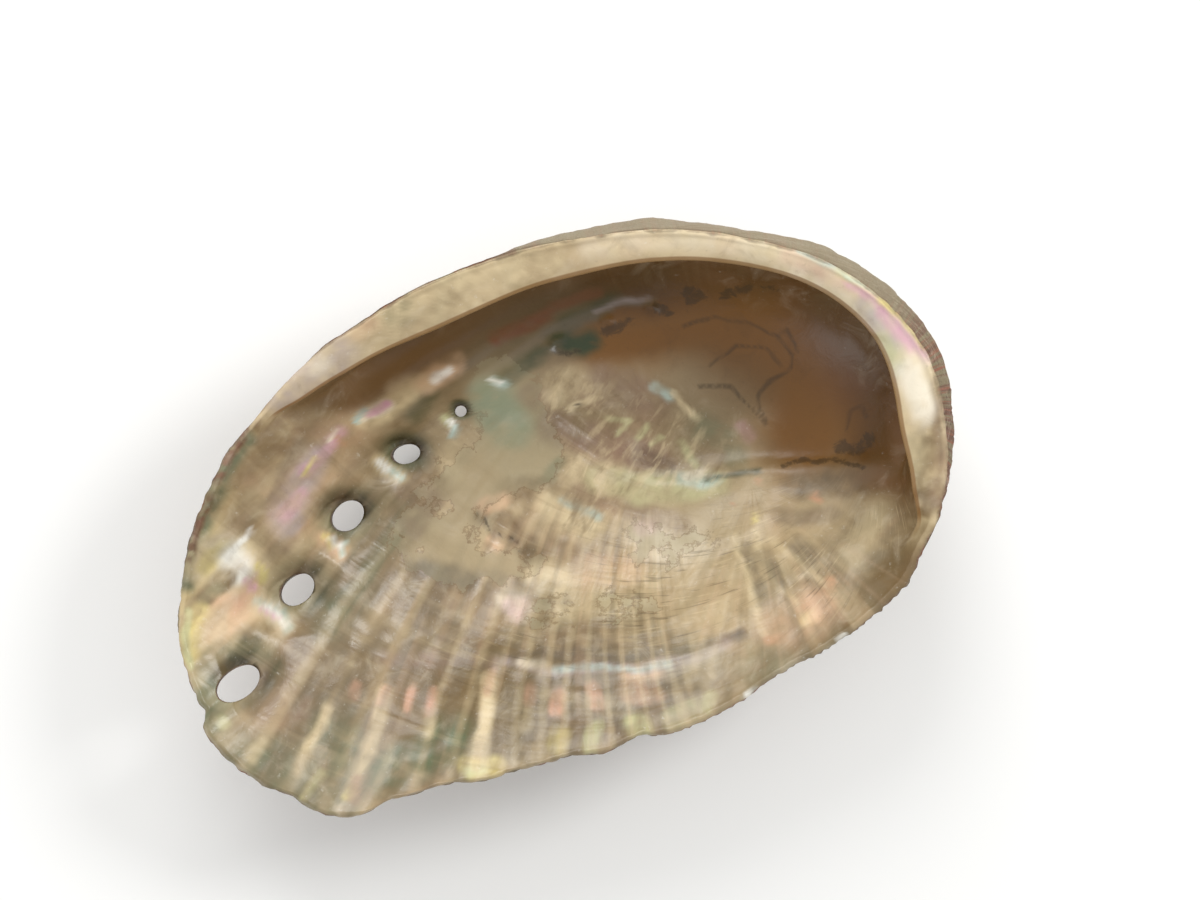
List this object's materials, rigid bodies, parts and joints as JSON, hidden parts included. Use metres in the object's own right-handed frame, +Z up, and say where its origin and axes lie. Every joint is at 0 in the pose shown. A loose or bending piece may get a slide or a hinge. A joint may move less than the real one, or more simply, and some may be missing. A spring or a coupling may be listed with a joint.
{
  "type": "abalone shell",
  "caption": "Ear-shaped sea shell lying on its back, with an open nacre bowl, an inner shelf along one edge and a curving row of breathing holes with raised rims.",
  "frame": {"origin": "centre of the bounding box's bottom, on the surface that the shell rests on", "axes": "+Z up, out of the bowl; +X along the shell's length, from the newest hole towards the spire; +Y towards the shelf's long side"},
  "size_m": [0.1508, 0.0934, 0.0407],
  "materials": {
    "nacre": "smooth pearly nacre inside, iridescent in pink, green and blue; dull reddish-brown ribbed crust outside"
  },
  "bodies": {
    "root": {"shell": "nacre"}
  },
  "joints": []
}
